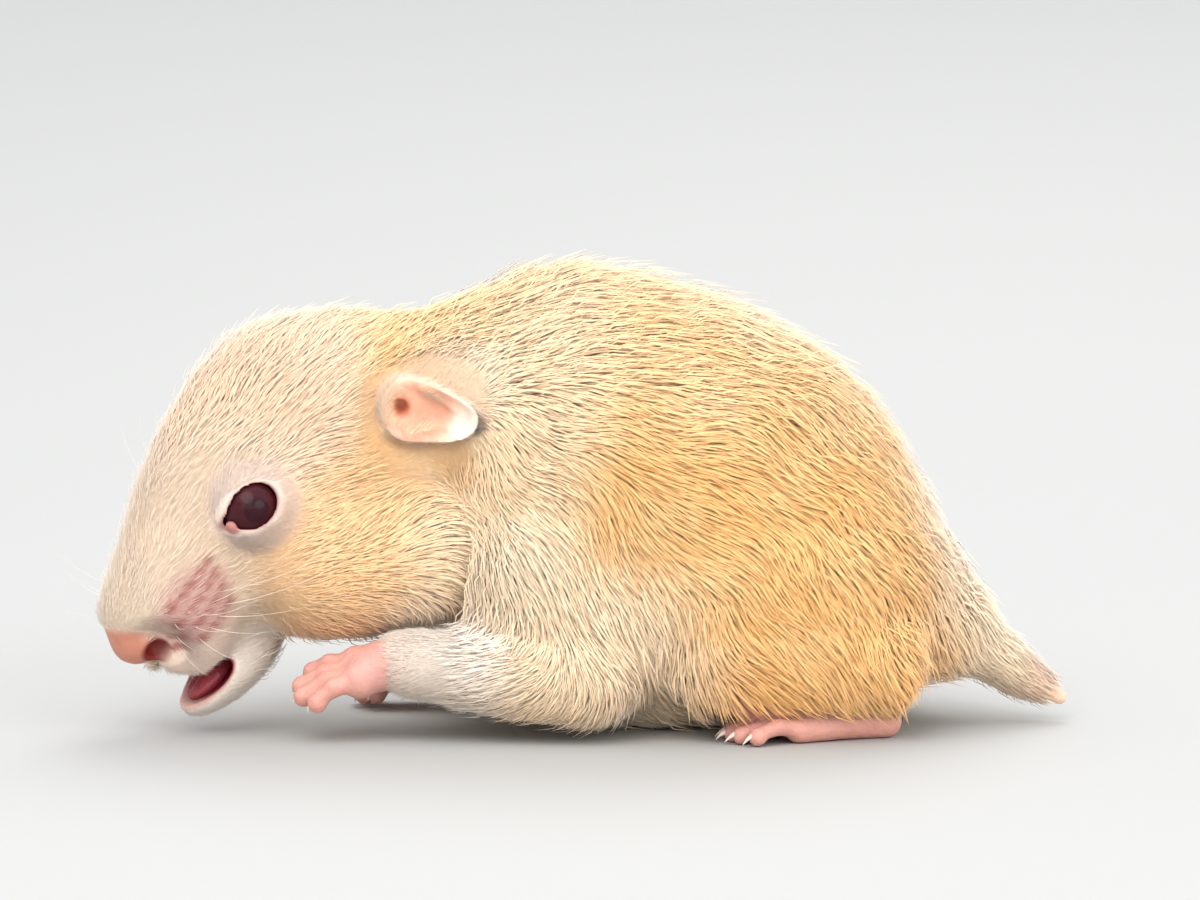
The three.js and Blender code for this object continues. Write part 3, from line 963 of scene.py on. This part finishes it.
def lie_guides():
    guides = []
    for s in SIDES.values():
        flip = np.array((1, s, 1))
        guides += [(on_head(at * flip), HEAD_AXES @ (way * flip)) for at, way in HEAD_LIE]
        guides += [(at * flip, way * flip) for at, way in BODY_LIE]
    places, ways = zip(*guides)
    return np.array(places, float), unit(np.array(ways, float))


def lie_at(points, normals):
    """The way that the coat lies, along the skin, as the guides near by say."""
    NEAR = 2.5
    total = np.zeros_like(points)
    for place, way in zip(*lie_guides()):
        off = ((points - place) ** 2).sum(-1)
        total += way / ((off + NEAR**2) ** 2)[:, None]
    return unit(total - normals * (total * normals).sum(-1, keepdims=True))


# ---- Where the coat grows ----
BARE_LIDS = 0.28  # how far round the lids no tufts grow
BARE_AHEAD = 0.5  # how much farther that is in front of the eye
BARE_PAW = {"forepaw": 0.25, "hind_foot": 0.1}  # where the coat ends, from heel to toe
RAGGED = 0.12  # how far the coat's edge wanders
COAT_PIECES = 8
TUFTS = 250000  # tried, before those on bare places are left out
LONG = 2.45  # a tuft's length for each millimetre of the coat's depth
SHORT_TUFT = 1.4  # tufts shorter than this are straight


def bare_places():
    """Shapes with no tufts on them."""
    shapes = [
        head_egg((-10.1, 0, -2.8), (1.8, 2.2, 1.9)),
        *(head_egg(*nostril) for nostril in each_side((-9.3, 2.2, -4.1), (1.4, 1.2, 1.3))),
        head_egg((-8.5, 0, -7.8), (4, 3.5, 1.75), MOUTH_PITCH),
        rod(np.array(TAIL_TIP) - (0.8, 0, -0.6), TAIL_TIP, 1, 1),
    ]
    for name in SIDES:
        lids = grown(lid_opening(name), BARE_LIDS)
        backwards = eye_axes(name)[0]
        shapes += [
            moved(lids, -BARE_AHEAD * backwards),
            egg(on_ear(name, -0.75, 0, 0.4), 1.5),
            lids,
        ]
    for name, foot in FEET.items():
        heel = np.array(foot["heel"])
        share = BARE_PAW[name.rsplit("_", 1)[0]]
        shapes.append(rod(heel + (foot["toe"] - heel) * share, foot["toe"], 2.3, 3.4))
    return shapes


def has_coat(points, normals):
    keep = np.ones(len(points), bool)
    for shape in bare_places():
        keep &= shape(points) > random.uniform(-RAGGED, RAGGED, len(points))
    for name in SIDES:
        u, _, w = ear_place(name, points)
        in_ear = (ear_leaf(name)(points) < 0.3) & (w > 0) & (u > -1.2)
        keep &= ~in_ear
    underfoot = (points[:, 2] < 0.15) & (normals[:, 2] < -0.7)
    return keep & ~underfoot


def scatter_roots(points, quads, normals):
    """Random roots on the skin, closer together where the coat is short, and the normals there."""
    triangles = np.concatenate([quads[:, [0, 1, 2]], quads[:, [0, 2, 3]]])
    a, b, c = (points[triangles[:, k]] for k in range(3))
    area = np.linalg.norm(np.cross(b - a, c - a), axis=1) / 2
    depth = coat_depth((a + b + c) / 3)
    density = (2 + 3 * depth) / (depth * (depth + 0.35))
    total = np.cumsum(area * density)
    picks = (np.arange(TUFTS) + random.uniform(size=TUFTS)) / TUFTS * total[-1]
    chosen = np.minimum(np.searchsorted(total, picks), len(total) - 1)
    s, t = random.uniform(size=(2, TUFTS, 1))
    s, t = np.where(s + t > 1, 1 - s, s), np.where(s + t > 1, 1 - t, t)
    shares = np.stack([1 - s - t, s, t], 1)
    corners = triangles[chosen]
    roots = (points[corners] * shares).sum(1)
    out = unit((normals[corners] * shares).sum(1))
    keep = has_coat(roots, out)
    order = random.permutation(keep.sum())
    return roots[keep][order], out[keep][order]


def turned(v, normal, angle):
    """v, which lies at right angles to the normal, turned about it."""
    return v * np.cos(angle)[:, None] + np.cross(normal, v) * np.sin(angle)[:, None]


ROOT_TINT = np.array((1, 1.08, 1.2))  # makes up for the little light between the tufts
TIP_TINT = np.array((1, 0.99, 0.98))
TONE = 0.03  # spread of the tufts' lightness
CLUMP_SPACING = 1.7  # between the clumps that tufts lean together in
CLUMP_DENSITY = 20  # tufts to a square millimetre that the clumps are counted by
CLUMP_PULL = 0.14
LIFT = 0.4  # radians that a tuft stands off the skin
ROOT_LIFT = 0.2  # how much more its lower half does
TIP_LIFT = -0.45  # and its upper half
FLATTEST = 0.08  # the least that its upper half does
STRAYS = 0.06  # share of tufts that stand out, by STRAY_LIFT more, and are longer
STRAY_LIFT = 0.2
STRAY_LONGER = 1.25
ROOT_DEPTH = 0.06  # of the tufts' roots in the skin
LOWEST = 0.03  # that a tuft comes above the floor
TUFT_SECTION = ((-0.5, 0), (0.5, 0), (0, 0.42))  # across and up, for each millimetre of width
MIDDLE_WIDTH = 0.85  # a long tuft's width at its bend, as a share of that at its root
SHADE_TILT = 0.2  # how much the shading normals turn from the skin's to the tuft's own
UV_PATCH = 0.003
SWAY = waves(9)
SWAY_SMALL = waves(3)
LIFT_WAVES = waves(5)


def clump_tips(roots, tips, depth):
    """Tips drawn together towards those of their clump, as hairs of a soft coat are."""
    count = int(len(roots) / CLUMP_SPACING**2 / CLUMP_DENSITY)
    tree = KDTree(count)
    for k in range(count):
        tree.insert(roots[k], k)
    tree.balance()
    nearest = np.array([tree.find(root)[1] for root in roots])
    pull = CLUMP_PULL * smooth_step(0.5, 1.5, depth)[:, None]
    return tips + (tips[nearest] - tips) * pull


def tuft_lines(roots, normals):
    """Each tuft's root, middle and tip, its width and its length."""
    count = len(roots)
    depth = coat_depth(roots)
    way = lie_at(roots, normals)
    sway = 0.16 * SWAY(roots) + 0.10 * SWAY_SMALL(roots) + random.normal(0, 0.09, count)
    way = turned(way, normals, sway)
    stray = random.uniform(size=count) < STRAYS
    length = depth * LONG * random.uniform(0.75, 1.15, count) * np.where(stray, STRAY_LONGER, 1)
    lift = LIFT + 0.04 * LIFT_WAVES(roots) + random.normal(0, 0.06, count) + STRAY_LIFT * stray

    def half(angle):
        risen = way * np.cos(angle)[:, None] + normals * np.sin(angle)[:, None]
        return risen * (length * 0.5)[:, None]

    sunk = roots - normals * ROOT_DEPTH
    middle = sunk + half(lift + ROOT_LIFT)
    tips = middle + half(np.maximum(lift + TIP_LIFT, FLATTEST))
    width = 0.028 + 0.038 * length
    return sunk, middle, clump_tips(roots, tips, depth), width, length


def spike_points(root, middle, tip, width, normals, rings):
    """The points of three-sided spikes, and the normals that they are shaded with."""
    side = unit(np.cross(tip - root, normals))
    up = unit(np.cross(side, tip - root))
    points, shades = [], []
    for ring, share in list(zip((root, middle), (1.0, MIDDLE_WIDTH)))[:rings]:
        for across, over in TUFT_SECTION:
            points.append(ring + (side * across + up * over) * width[:, None] * share)
            shades.append(unit(normals + (side * across + up * over * 0.5) * SHADE_TILT))
    points.append(tip)
    shades.append(unit(normals + unit(tip - root) * SHADE_TILT))
    return np.stack(points, 1), np.stack(shades, 1)


def tuft_mesh(name, lines, normals, colours, uv):
    """A piece of the coat. A long tuft is a spike with a bend, a short one a straight spike."""
    length = lines[-1]
    points, faces, shades, tints, places = [], [], [], [], []
    offset = 0
    for rings, own in ((2, length >= SHORT_TUFT), (1, length < SHORT_TUFT)):
        own_points, own_shades = spike_points(*(part[own] for part in lines[:-1]), normals[own], rings)
        count, each = own_points.shape[:2]
        spike = [*sleeve(0, rings, 3), *fan(each - 1, each - 4, 3), (0, 1, 2)]
        along = np.array([0.0] * 3 + [0.5] * 3 * (rings - 1) + [1.0])
        patch = np.stack([[0, 1, 0.5] * rings + [0.5], along], 1) - 0.5
        tint = ROOT_TINT + (TIP_TINT - ROOT_TINT) * along[:, None]
        points.append(own_points)
        shades.append(own_shades)
        faces.append(offset + np.arange(count)[:, None, None] * each + np.array(spike))
        tints.append(colours[own][:, None] * tint)
        places.append(uv[own][:, None] + patch * UV_PATCH)
        offset += count * each

    def joined(parts):
        return np.concatenate([part.reshape(-1, part.shape[-1]) for part in parts])

    points = joined(points)
    points[:, 2] = np.maximum(points[:, 2], LOWEST)
    faces = joined(faces)
    piece = mesh_from(name, points, faces)
    set_colours(piece, joined(tints))
    piece.data.normals_split_custom_set_from_vertices(joined(shades).astype(np.float32))
    layer = piece.data.uv_layers.new(name="OFBake")
    layer.data.foreach_set("uv", joined(places)[faces.ravel()].astype(np.float32).ravel())
    return piece


UNWRAP_STEP = 5  # the unwrapped copy of the skin has one in so many of its points


def skin_unwrap(flesh):
    """A coarse copy of the skin, unwrapped, as a function from points to places on the unwrap."""
    axes = [a[::UNWRAP_STEP] for a in flesh.axes]
    steps = (slice(None, None, UNWRAP_STEP),) * 3
    points, quads = surface(flesh.values[steps], axes)
    shell = mesh_from("shell", points, outward(points, quads))
    bpy.context.view_layer.objects.active = shell
    shell.select_set(True)
    bpy.ops.object.mode_set(mode="EDIT")
    bpy.ops.mesh.select_all(action="SELECT")
    bpy.ops.uv.smart_project(angle_limit=np.radians(66), island_margin=0.006)
    bpy.ops.object.mode_set(mode="OBJECT")
    uv = gathered(shell.data.uv_layers.active.data, "uv", 2).reshape(-1, 4, 2)
    corners = gathered(shell.data.loops, "vertex_index", 1, np.int32).reshape(-1, 4)
    tree = BVHTree.FromPolygons(points.tolist(), corners.tolist())
    bpy.data.objects.remove(shell)

    def place(roots):
        """Of the quad nearest to each root, the mean of its corners' places by how near each is."""
        face = np.array([tree.find_nearest(root)[2] for root in roots])
        off = np.linalg.norm(points[corners[face]] - roots[:, None], axis=-1)
        share = 1 / (off + 1e-3) ** 2
        share /= share.sum(1, keepdims=True)
        return (uv[face] * share[..., None]).sum(1)

    return place


def make_coat(flesh, skin):
    roots, normals = scatter_roots(*skin)
    lines = tuft_lines(roots, normals)
    colours = fur_colour(roots) * random.normal(1, TONE, (len(roots), 1))
    uv = skin_unwrap(flesh)(roots)
    material = marked_material(
        "coat", 3000, 2, 0.05, Roughness=0.8, Specular_IOR_Level=0.15, Sheen_Weight=0.6, Sheen_Roughness=0.5
    )
    number = np.arange(len(roots)) * COAT_PIECES // len(roots)
    for k in range(COAT_PIECES):
        own = number == k
        piece = tuft_mesh(f"coat_{k + 1}", [part[own] for part in lines], normals[own], colours[own], uv[own])
        finish_piece(piece, material)


# ---- Eyes, tongue, claws and whiskers ----
# the tongue's own red, darkened by painted shade from the mouth around it
TONGUE_WITH_PAINTED_SHADE = (0.32, 0.04, 0.055)
IRIS = (0.055, 0.008, 0.012)
PUPIL = (0.028, 0.003, 0.007)
HORN = (0.86, 0.7, 0.6)
WHISKER = (0.86, 0.76, 0.66)
CLAWS = {"forepaw": 0.57, "hind_foot": 0.95}  # their length


def round_piece(name, at, radii, axes, shaped):
    """A ball with its pole along the last of its axes. shaped moves the points of the unit ball."""
    RINGS = 31
    SPOKES = 64
    tilt = np.linspace(0, np.pi, RINGS + 2)[1:-1]
    rings, faces = wheel(np.sin(tilt), np.cos(tilt), SPOKES)
    ball = shaped(np.array([(0, 0, 1), *rings, (0, 0, -1)]))
    last = len(ball) - 1
    faces += fan(last, last - SPOKES, SPOKES)
    return mesh_from(name, at + (ball * radii) @ np.stack(axes), np.array(faces)), ball


def make_eyes():
    CORNEA = 0.05  # how far the cornea stands out, as a share of the radius
    CORNEA_WIDE = 0.5  # radians from the middle
    PUPIL_EDGE = 0.45
    PUPIL_SOFT = 0.06

    def bulged(ball):
        tilt = np.arccos(np.clip(ball[:, 2], -1, 1))
        return ball * (1 + CORNEA * np.exp(-((tilt / CORNEA_WIDE) ** 2)))[:, None]

    material = marked_material(
        "eye", 900, 3, 0.2, Roughness=0.25, Specular_IOR_Level=0.12, Coat_Weight=0.15, Coat_Roughness=0.06
    )
    radii = [EYE_RADIUS * (1 - CORNEA / 2)] * 3
    for side in SIDES:
        along, _, out = eye_axes(side)
        axes = (along, np.cross(out, along), out)
        eye, ball = round_piece("eyeball_" + side, EYES[side], radii, axes, bulged)
        tilt = np.arccos(np.clip(unit(ball)[:, 2], -1, 1))
        share = smooth_step(PUPIL_EDGE - PUPIL_SOFT, PUPIL_EDGE + PUPIL_SOFT, tilt)[:, None]
        set_colours(eye, np.array(PUPIL) * (1 - share) + np.array(IRIS) * share)
        finish_piece(eye, material, ["eye_" + side])


def make_tongue():
    AT = (-7.3, 0, -8.75)  # on the head's axes
    RADII = (1.3, 2.1, 0.75)  # across, along and up
    GROOVE = 0.25
    GROOVE_WIDE = 0.22

    def grooved(ball):
        made = ball.copy()
        made[:, 2] -= GROOVE * np.exp(-((ball[:, 0] / GROOVE_WIDE) ** 2)) * np.maximum(ball[:, 2], 0)
        return made

    back, right, up = HEAD_AXES.T
    tongue = round_piece("tongue_soft", on_head(AT), RADII, (right, -back, up), grooved)[0]
    # the tongue's red, darkened by painted shade
    set_colours(tongue, TONGUE_WITH_PAINTED_SHADE)
    material = marked_material(
        "tongue", 4200, 3, 0.12, Roughness=0.35, Subsurface_Weight=0.3,
        Subsurface_Radius=(1.0, 0.3, 0.2), Subsurface_Scale=0.0006,
    )
    finish_piece(tongue, grained(material, 4200, 3, 0.0001), ["tongue"])


def tubes(name, paths, radii, sides):
    """Tapering tubes along paths, all in one piece and each closed at its root."""
    count, steps = paths.shape[:2]
    way = unit(np.gradient(paths, axis=1))
    level = unit(np.cross(way, (0.31, 0.2, 0.93)))
    over = np.cross(way, level)
    turn = np.linspace(0, 2 * np.pi, sides, endpoint=False)
    rings = level[:, :, None] * np.cos(turn)[:, None] + over[:, :, None] * np.sin(turn)[:, None]
    points = paths[:, :, None] + rings * radii[:, None, None]
    each = steps * sides + 1
    points = np.concatenate([points.reshape(count, -1, 3), paths[:, :1]], 1).reshape(-1, 3)
    tube = [*fan(each - 1, 0, sides), *(face[::-1] for face in sleeve(0, steps, sides))]
    faces = np.arange(count)[:, None, None] * each + np.array(tube)
    return mesh_from(name, points, faces.reshape(-1, 3))


def make_claws():
    RADIUS = 0.2
    HOOK = 0.35  # how far a claw's tip bends down
    t = np.linspace(0, 1, 6)[:, None]
    radii = RADIUS * (1 - 0.97**1.5 * t[:, 0] ** 1.5)
    material = marked_material("claw", 3500, 2, 0.08, Roughness=0.35)
    for name, foot in FEET.items():
        digits, up = foot_places(**foot)[1:]
        paths = []
        for _, knuckle, tip in digits:
            ahead = unit(tip - knuckle)
            start = tip + ahead * foot["thick"] * 0.45 + up * 0.12
            paths.append(start + ahead * CLAWS[name.rsplit("_", 1)[0]] * t - up * HOOK * t**2)
        paths = np.array(paths)
        paths[..., 2] = np.maximum(paths[..., 2], RADIUS * 0.6)
        claws = tubes("claws_" + name, paths, radii, 8)
        set_colours(claws, HORN)
        finish_piece(claws, material)


def whisker_roots(side, skin_tree):
    """Where the whiskers stand on one side of the muzzle, in rows from front to back."""
    s = SIDES[side]
    roots = []
    for row in range(WHISKER_ROWS):
        for k in range(WHISKERS_IN_ROW if row > 1 else 2):
            x, z = pad_dot(row, k)
            start = on_head((x, s * 9, z))
            hit = skin_tree.ray_cast(Vector(start), Vector(-s * HEAD_AXES[:, 1]))[0]
            if hit is not None:
                roots.append((row, k, np.array(hit)))
    return roots


def make_whiskers(skin):
    RADIUS = 0.026
    BROW_WHISKERS = 3
    tree = BVHTree.FromPolygons(skin[0].tolist(), skin[1].tolist())
    t = np.linspace(0, 1, 12)[:, None]
    paths = []
    for side, s in SIDES.items():
        for row, k, root in whisker_roots(side, tree):
            length = (5.0 + 1.3 * k) * random.uniform(0.8, 1.1)
            way = np.array((-0.3 + 0.2 * k, s * 0.75, 0.32 - 0.2 * row))
            way = HEAD_AXES @ unit(way + random.normal(0, 0.06, 3))
            bend = HEAD_AXES @ (0.35, -0.1 * s, 0.3) * random.uniform(0.6, 1.2)
            paths.append(root + way * length * t + bend * length * 0.5 * t**2)
        for k in range(BROW_WHISKERS):
            root = EYES[side] + HEAD_AXES @ (-1.2 + 0.8 * k, -0.3 * s, 2.55)
            way = HEAD_AXES @ unit((0.15 + 0.2 * k, s * 0.5, 0.9))
            paths.append(root + way * 4.5 * t + HEAD_AXES @ (0.9, 0, -0.3) * 1.2 * t**2)
    whiskers = tubes("whiskers", np.array(paths), RADIUS * (1 - 0.85 * t[:, 0]), 5)
    set_colours(whiskers, WHISKER)
    finish_piece(whiskers, marked_material("whisker", 1200, 2, 0.06, Roughness=0.4))


make_camera()
make_lights()
make_floor()
bpy.context.scene.view_settings.view_transform = "Standard"
flesh = make_flesh()
skin = make_skin(flesh)
make_coat(flesh, skin)
make_eyes()
make_tongue()
make_claws()
make_whiskers(skin)
